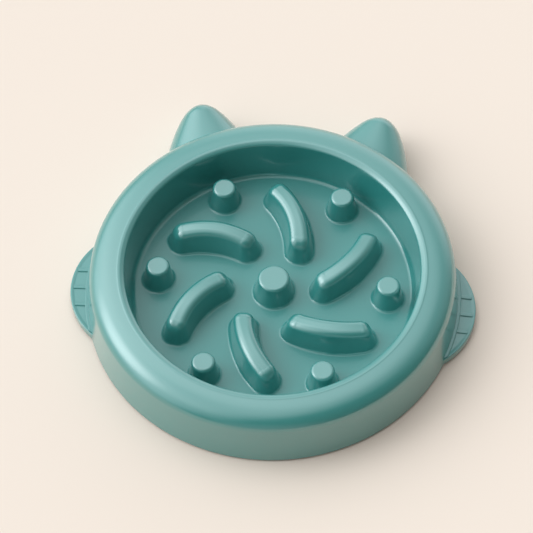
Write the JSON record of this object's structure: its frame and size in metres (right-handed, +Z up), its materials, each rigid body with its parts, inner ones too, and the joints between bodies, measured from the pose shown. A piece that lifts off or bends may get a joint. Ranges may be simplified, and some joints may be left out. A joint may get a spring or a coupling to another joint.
{
  "type": "slow feeder bowl",
  "caption": "Round plastic pet bowl with a maze of pegs and curved blades in its floor, two ears at the back, a grip tab on each side and rubber feet below.",
  "frame": {"origin": "on the table, at the middle of the whole footprint, 7.7 mm behind the bowl's round middle", "axes": "+Z up, +Y towards the ears at the back, +X to the right as seen from the front"},
  "size_m": [0.251, 0.2454, 0.0392],
  "materials": {
    "bowl": "gloss",
    "feet": "matt"
  },
  "bodies": {
    "root": {"bowl": "bowl", "foot_1": "feet", "foot_2": "feet", "foot_3": "feet", "foot_4": "feet", "foot_5": "feet", "foot_6": "feet"}
  },
  "joints": []
}
